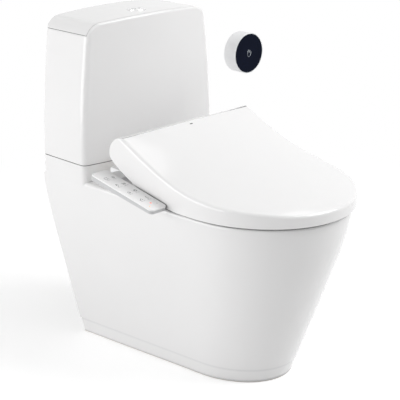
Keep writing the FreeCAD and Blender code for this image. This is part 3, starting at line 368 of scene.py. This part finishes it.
# painted shade: the lower shell is a much darker grey than the top shell, standing in for the
# shade under the panel
panelTrayPaintedShade = makePlastic("panelTrayPaintedShade", polish=(0.3, 0.4), grain=1100, depth=0.0002,
                        **greyPair((0.60, 0.605, 0.61), (0.56, 0.565, 0.57)))
keyFace = makePlastic("keyFace", polish=(0.3, 0.42), grain=1300, depth=0.0002,
                      **greyPair((0.93, 0.928, 0.928), (0.91, 0.908, 0.908)))
valveWhite = makePlastic("valvePlastic", polish=(0.35, 0.5), grain=900, depth=0.0002,
                         **greyPair((0.78, 0.79, 0.8), (0.72, 0.73, 0.74)))
darkPlastic = makePlastic("darkPlastic", polish=(0.4, 0.55), grain=900, depth=0.0002,
                          **greyPair((0.09, 0.095, 0.1), (0.06, 0.062, 0.066)))
heaterCase = makePlastic("heaterCase", polish=(0.4, 0.55), grain=500, depth=0.0003,
                         **greyPair((0.6, 0.6, 0.57), (0.54, 0.54, 0.5)))
sensorShell = makePlastic("sensorShell", polish=(0.28, 0.36), grain=1100, depth=0.0002,
                          **greyPair((0.84, 0.845, 0.855), (0.81, 0.812, 0.818)))
blackRubber = makeRubber("blackRubber", grey(0.05), grey(0.018))
greyRubber = makeRubber("greyRubber", grey(0.5), grey(0.42))
stainless = makeMetal("stainless", grey(0.66), grey(0.5), (0.22, 0.4), (300, 300, 20))
chrome = makeMetal("chromePlate", grey(0.86), grey(0.78), (0.05, 0.14), (40, 40, 40))
brass = makeMetal("brass", (0.78, 0.58, 0.25, 1), (0.6, 0.42, 0.16, 1), (0.2, 0.38),
                  (200, 30, 200))
motorSteel = makeMetal("motorSteel", grey(0.6), grey(0.48), (0.28, 0.45), (20, 300, 300))
board = makeBoard("circuitBoard")
film = makeFilm("heaterFilm")
darkFace = makeDarkFace("sensorFace")
cellWrap = makeCellWrap("cellWrap")
redLight = makeGlow("heatLight", (1.0, 0.16, 0.05, 1), 0.6)
amberLight = makeGlow("powerLight", (1.0, 0.55, 0.12, 1), 0.35)
iconPrint = makePrint("iconPrint", (0.03, 0.032, 0.036, 1))
paleEtch = makePrint("paleEtch", (0.42, 0.46, 0.5, 1))
smokedLens = makePrint("smokedLens", (0.02, 0.02, 0.022, 1))

dress = {
    footedChina: ["pan"],
    china: ["tank", "tank_lid"],
    lidShell: ["lid_shell", "lid_hinge_cover"],
    seatShell: ["seat_top_shell", "seat_bottom_shell"],
    housing: ["base_lower_housing", "base_top_cover", "mounting_plate"],
    panelShell: ["panel_top_shell"],
    panelTrayPaintedShade: ["panel_lower_shell"],
    keyFace: ["panel_key_%d" % number for number in range(1, 9)],
    valveWhite: ["flush_valve_body", "flush_valve_tube", "fill_valve_body", "full_flush_rod",
                 "half_flush_rod", "nozzle_cradle", "rear_wash_nozzle", "front_wash_nozzle"],
    darkPlastic: ["flush_valve_nut", "fill_valve_nut", "fill_valve_float", "flush_actuator",
                  "seat_fixing_nuts", "solenoid_valve", "power_gland"],
    heaterCase: ["water_heater"],
    sensorShell: ["sensor_housing", "sensor_wall_plate"],
    blackRubber: ["outlet_seal", "tank_seals", "flush_valve_seal"],
    greyRubber: ["seat_bumpers", "lid_bumpers"],
    stainless: ["tank_bolts", "tank_bolt_nuts", "seat_fixing_bolts", "seat_hinge_shaft",
                "lid_hinge_shaft", "seat_damper", "lid_damper"],
    chrome: ["flush_button_housing", "full_flush_button", "half_flush_button"],
    brass: ["water_inlet"],
    motorSteel: ["nozzle_motor"],
    board: ["main_board", "panel_board"],
    film: ["seat_heater"],
    darkFace: ["sensor_face"],
    cellWrap: ["sensor_batteries"],
}

for material, names in dress.items():
    for name in names:
        slots = nodes[name].material_slots
        if not slots:
            nodes[name].data.materials.append(material)
        for slot in slots:
            slot.material = material
undressed = sorted(set(nodes) - {name for names in dress.values() for name in names})
print("finishes on", len(nodes) - len(undressed), "nodes, without:", undressed)


def addMesh(name, verts, faces, material, body, smooth=False):
    mesh = bpy.data.meshes.new(name)
    mesh.from_pydata([tuple(v) for v in verts], [], faces)
    mesh.validate()
    tidy = bmesh.new()
    tidy.from_mesh(mesh)
    bmesh.ops.remove_doubles(tidy, verts=tidy.verts, dist=1e-6)
    bmesh.ops.recalc_face_normals(tidy, faces=tidy.faces)
    tidy.to_mesh(mesh)
    tidy.free()
    mesh.materials.append(material)
    for polygon in mesh.polygons:
        polygon.use_smooth = smooth
    piece = bpy.data.objects.new(name, mesh)
    scene.collection.objects.link(piece)
    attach(piece, body)


def stroke(points, width, thick, closed=False):    # a raised line that follows flat points
    points = [Vector(p) for p in points]
    count = len(points)
    verts, faces = [], []
    for i, p in enumerate(points):
        before = points[i - 1] if closed or i else points[i]
        after = points[(i + 1) % count] if closed or i < count - 1 else points[i]
        along = (after - before).normalized()
        side = Vector((-along.y, along.x)) * width / 2
        for edge, z in ((p - side, 0), (p + side, 0), (p + side, thick), (p - side, thick)):
            verts.append(Vector((edge.x, edge.y, z)))
    for i in range(count if closed else count - 1):
        a, b = 4 * i, 4 * ((i + 1) % count)
        for k in range(4):
            faces.append((a + k, a + (k + 1) % 4, b + (k + 1) % 4, b + k))
    if not closed:
        last = 4 * (count - 1)
        faces += [(3, 2, 1, 0), (last, last + 1, last + 2, last + 3)]
    return verts, faces


def arc(cx, cy, radius, start, end, steps=14):
    return [(cx + radius * math.cos(math.radians(start + (end - start) * n / steps)),
             cy + radius * math.sin(math.radians(start + (end - start) * n / steps)))
            for n in range(steps + 1)]


def circle(cx, cy, radius, steps=24):
    return arc(cx, cy, radius, 0, 360 * (steps - 1) / steps, steps - 1)


def drop(cx, cy, size):
    return [(cx, cy + 1.5 * size)] + arc(cx, cy, size, 40, -220)


def bands(rings, steps):    # faces between stacked rings of points
    faces = []
    for ring in range(rings):
        for step in range(steps):
            a, b = ring * steps + step, ring * steps + (step + 1) % steps
            faces.append((a, b, b + steps, a + steps))
    return faces


def joined(strokes, place):
    verts, faces = [], []
    for lineVerts, lineFaces in strokes:
        base = len(verts)
        verts += [place @ v for v in lineVerts]
        faces += [tuple(base + i for i in face) for face in lineFaces]
    return verts, faces


panel = {
    "centre": (-0.2145, -0.0005, 0.4115),
    "tilt": 10.7,
    "keyRise": 0.0005,
    "pitch": 0.035,
    "firstRow": 0.057,
    "columns": (-0.0085, 0.0085),
    "line": 0.0008,
    "thick": 0.00008,
    "size": 1.25,
    "signLift": 1.4,    # millimetres, to leave room for the level ticks
    "tickLine": -4.9,
    "ticks": (-4.0, -2.4, -0.8, 0.8, 2.4),
    "tickLength": 0.8,
}
onPanel = (Matrix.Translation(panel["centre"])
           @ Matrix.Rotation(math.radians(panel["tilt"]), 4, "X"))

# plain signs, in millimetres round the middle of a key: points, and whether the line closes
signs = {
    "stop": [([(-3, -3), (3, -3), (3, 3), (-3, 3)], True)],
    "rearWash": [(arc(0, 2.6, 2.6, 200, 340), False), ([(0, -4), (0, -1)], False),
                 ([(-1.2, -3.4), (-2.2, -0.9)], False), ([(1.2, -3.4), (2.2, -0.9)], False)],
    "frontWash": [(circle(0, 3, 1.3), True), (arc(0, -1, 2.4, 20, 160), False),
                  ([(0, -4.2), (0, -1.6)], False), ([(-1.4, -3.8), (-1.0, -1.8)], False)],
    "dryer": [([(-3, y), (-1.5, y + 0.8), (0, y), (1.5, y - 0.8), (3, y)], False)
              for y in (2, 0, -2)],
    "waterHeat": [(drop(0, -0.8, 2.3), True), ([(-0.8, -1.4), (0.9, -1.4)], False)],
    "seatHeat": [(arc(0, 0.6, 3.0, 180, 360), False), ([(-3.0, 0.8), (3.0, 0.8)], False)]
    + [([(x, 1.8), (x + 0.6, 2.7), (x, 3.6)], False) for x in (-1.4, 0.2, 1.6)],
    "pressure": [([(-3, -2.5), (3, -2.5), (3, 2.8), (-3, -2.5)], False)],
    "position": [([(0, -3.4), (0, 3.4)], False),
                 ([(-1.3, 2.2), (0, 3.5), (1.3, 2.2)], False),
                 ([(-1.3, -2.2), (0, -3.5), (1.3, -2.2)], False)],
}


def keySign(kind, cx, cy):
    lines = [([(x, y + panel["signLift"]) for x, y in points], closed)
             for points, closed in signs[kind]]
    lines += [([(x, panel["tickLine"]), (x + panel["tickLength"], panel["tickLine"])], False)
              for x in panel["ticks"]]
    scale = panel["size"] / 1000
    return [stroke([(cx + x * scale, cy + y * scale) for x, y in points],
                   panel["line"], panel["thick"], closed) for points, closed in lines]


for number, kind in enumerate(signs, 1):
    row, column = divmod(number - 1, 2)
    cx, cy = panel["columns"][column], panel["firstRow"] - panel["pitch"] * row
    lift = Matrix.Translation((0, 0, panel["keyRise"]))
    verts, faces = joined(keySign(kind, cx, cy), onPanel @ lift)
    addMesh("keyMark_" + kind, verts, faces, iconPrint, "key_%d" % number)
print("panel marks done")

lights = {    # across and along the panel, radius, finish
    "heatLight": (0.0, -0.067, 0.0021, redLight),
    "powerLight": (-0.0115, -0.077, 0.0014, amberLight),
    "standbyLight": (0.0105, -0.074, 0.0009, iconPrint),
}
dome = {"height": 0.0003, "rings": 4, "steps": 20}
for name, (cx, cy, radius, material) in lights.items():
    verts = []
    for ring in range(dome["rings"] + 1):
        turn = math.pi / 2 * ring / dome["rings"]
        reach = radius * math.cos(turn)
        for step in range(dome["steps"]):
            angle = 2 * math.pi * step / dome["steps"]
            verts.append(onPanel @ Vector((cx + reach * math.cos(angle),
                                           cy + reach * math.sin(angle),
                                           dome["height"] * math.sin(turn))))
    faces = bands(dome["rings"], dome["steps"])
    addMesh(name, verts, faces, material, "toilet", True)


window = {
    "centre": (0.0, 0.037),
    "half": (0.0042, 0.0016),
    "steps": 28,
    "rings": ((1.0, -0.0003), (1.0, 0.00012), (0.8, 0.0002), (0.4, 0.00012)),    # share, lift
    "above": 0.8,    # a height clear of the lid
}


def onLid(x, y):    # the point and normal of the lid's upper surface
    hit = nodes["lid_shell"].ray_cast(Vector((x, y, window["above"])), Vector((0, 0, -1)))
    return hit[1], hit[2]


def makeWindow(spec):
    cx, cy = spec["centre"]
    verts = []
    steps = spec["steps"]
    normal = onLid(cx, cy)[1]
    for share, lift in spec["rings"]:
        for step in range(steps):
            angle = 2 * math.pi * step / steps
            point = onLid(cx + spec["half"][0] * share * math.cos(angle),
                          cy + spec["half"][1] * share * math.sin(angle))[0]
            verts.append(point + normal * lift)
    last = len(spec["rings"]) - 1
    faces = bands(last, steps)
    faces.append(tuple(range(last * steps, (last + 1) * steps)))
    addMesh("lidWindow", verts, faces, smokedLens, "lid", True)


makeWindow(window)
print("lid window done")


sensor = {
    "centre": (0.426, 0.551),
    "front": 0.2673,
    "line": 0.000825,
    "thick": 0.0001,
    "rim": 0.0479,
    "rimLine": 0.0005,
    "rimThick": 0.00012,
    "rimSteps": 72,
}
onSensor = (Matrix.Translation((sensor["centre"][0], sensor["front"], sensor["centre"][1]))
            @ Matrix.Rotation(math.radians(90), 4, "X"))
openHand = [    # palm, thumb and four fingers, in millimetres
    [(-4.6, -1.5), (-4.2, -5.5), (-2.0, -8.4), (1.6, -8.8), (4.8, -6.6), (6.2, -2.6),
     (6.6, 1.4)],
    [(6.6, 1.4), (8.4, 2.8), (7.6, -2.2), (6.2, -4.6)],
    [(-4.6, -1.5), (-5.4, 6.2), (-3.4, 6.6), (-2.6, 0.6)],
    [(-2.9, 1.6), (-2.6, 8.8), (-0.6, 8.8), (-0.4, 1.4)],
    [(-0.5, 1.6), (0.5, 8.2), (2.4, 7.8), (2.0, 1.0)],
    [(2.1, 1.4), (3.6, 6.2), (5.2, 5.4), (4.2, 0.2)],
]
hand = [stroke([(x / 1000, y / 1000) for x, y in points], sensor["line"], sensor["thick"])
        for points in openHand]
rim = [stroke(circle(0, 0, sensor["rim"], sensor["rimSteps"]), sensor["rimLine"],
              sensor["rimThick"], True)]
for name, strokes, smooth in (("handSign", hand, False), ("sensorFaceRim", rim, True)):
    verts, faces = joined(strokes, onSensor)
    addMesh(name, verts, faces, paleEtch, "toilet", smooth)
print("sensor marks done")


button = {
    "y": 0.205,
    "top": 0.724,
    "apart": 0.0078,
    "line": 0.0007,
    "thick": 0.00008,
    "rings": {"full_flush": (-1, 0.0046), "half_flush": (1, 0.0028)},    # side, radius
}
for body, (side, radius) in button["rings"].items():
    place = Matrix.Translation((side * button["apart"], button["y"], button["top"]))
    ring = stroke(circle(0, 0, radius), button["line"], button["thick"], True)
    verts, faces = joined([ring], place)
    addMesh("mark_" + body, verts, faces, iconPrint, body)
print("button marks done")


floorLook = {
    "size": 9.0,
    "below": 0.0004,
    "shade": grey(0.8),
    "speck": grey(0.78),
    "lift": 0.45,    # light added for the camera and in reflections
    "fade": (0.55, 1.5),    # distances between which it turns white
}


def makeFloor(spec):
    half = spec["size"] / 2
    corners = [(-half, -half, 0), (half, -half, 0), (half, half, 0), (-half, half, 0)]
    mesh = bpy.data.meshes.new("studioFloor")
    mesh.from_pydata(corners, [], [(0, 1, 2, 3)])
    floor = bpy.data.objects.new("studioFloor", mesh)
    scene.collection.objects.link(floor)
    floor.location.z = -spec["below"]
    finish = Finish("studioFloor")
    finish.set(colour=finish.mix(finish.noise(3.0), spec["shade"], spec["speck"]),
               roughness=0.85, specular=0.0)
    seen = finish.ray("Camera") + finish.ray("Glossy")
    lift = finish.node("ShaderNodeEmission", values={
        "Color": grey(1.0), "Strength": spec["lift"] * seen})
    near = finish.node("ShaderNodeAddShader", values={0: finish.shader, 1: lift})
    white = finish.node("ShaderNodeEmission", values={"Color": grey(1.0), "Strength": 1.0})
    away = finish.node("ShaderNodeVectorMath", {"operation": "LENGTH"}, {0: finish.place()},
                       outlet="Value")
    both = finish.node("ShaderNodeMixShader", values={
        0: finish.range(away, *spec["fade"]) * seen, 1: near, 2: white})
    finish.feed(finish.outlet.maker.inputs[0], both)
    mesh.materials.append(finish.material)


def makeWorld(level):
    world = bpy.data.worlds.new("studioWorld")
    scene.world = world
    world.use_nodes = True
    tree = NodeTree(world.node_tree)
    seen = tree.ray("Camera") + tree.ray("Glossy") + tree.ray("Transmission")
    soft = tree.node("ShaderNodeBackground", values={"Color": grey(1.0), "Strength": level})
    white = tree.node("ShaderNodeBackground", values={"Color": grey(1.0), "Strength": 1.0})
    both = tree.node("ShaderNodeMixShader", values={0: seen, 1: soft, 2: white})
    tree.node("ShaderNodeOutputWorld", values={0: both})


studio = {
    "world": 0.36,
    "softboxes": {    # place, aim, size, watts
        "leftSoftbox": ((-2.7, 1.0, 0.6), (0, 0, 0.35), (2.6, 2.2), 62),
        "frontRightSoftbox": ((1.3, -1.7, 2.5), (0, 0, 0.4), (1.8, 1.8), 54),
        "rightSoftbox": ((1.2, -0.1, 2.8), (0, 0, 0.4), (1.8, 1.8), 12),
    },
}

makeCamera(viewpoint)
makeWorld(studio["world"])
makeFloor(floorLook)
for name, (place, aim, size, power) in studio["softboxes"].items():
    makeSoftbox(name, place, aim, size, power)
scene.view_settings.view_transform = "Standard"
print("stage done")
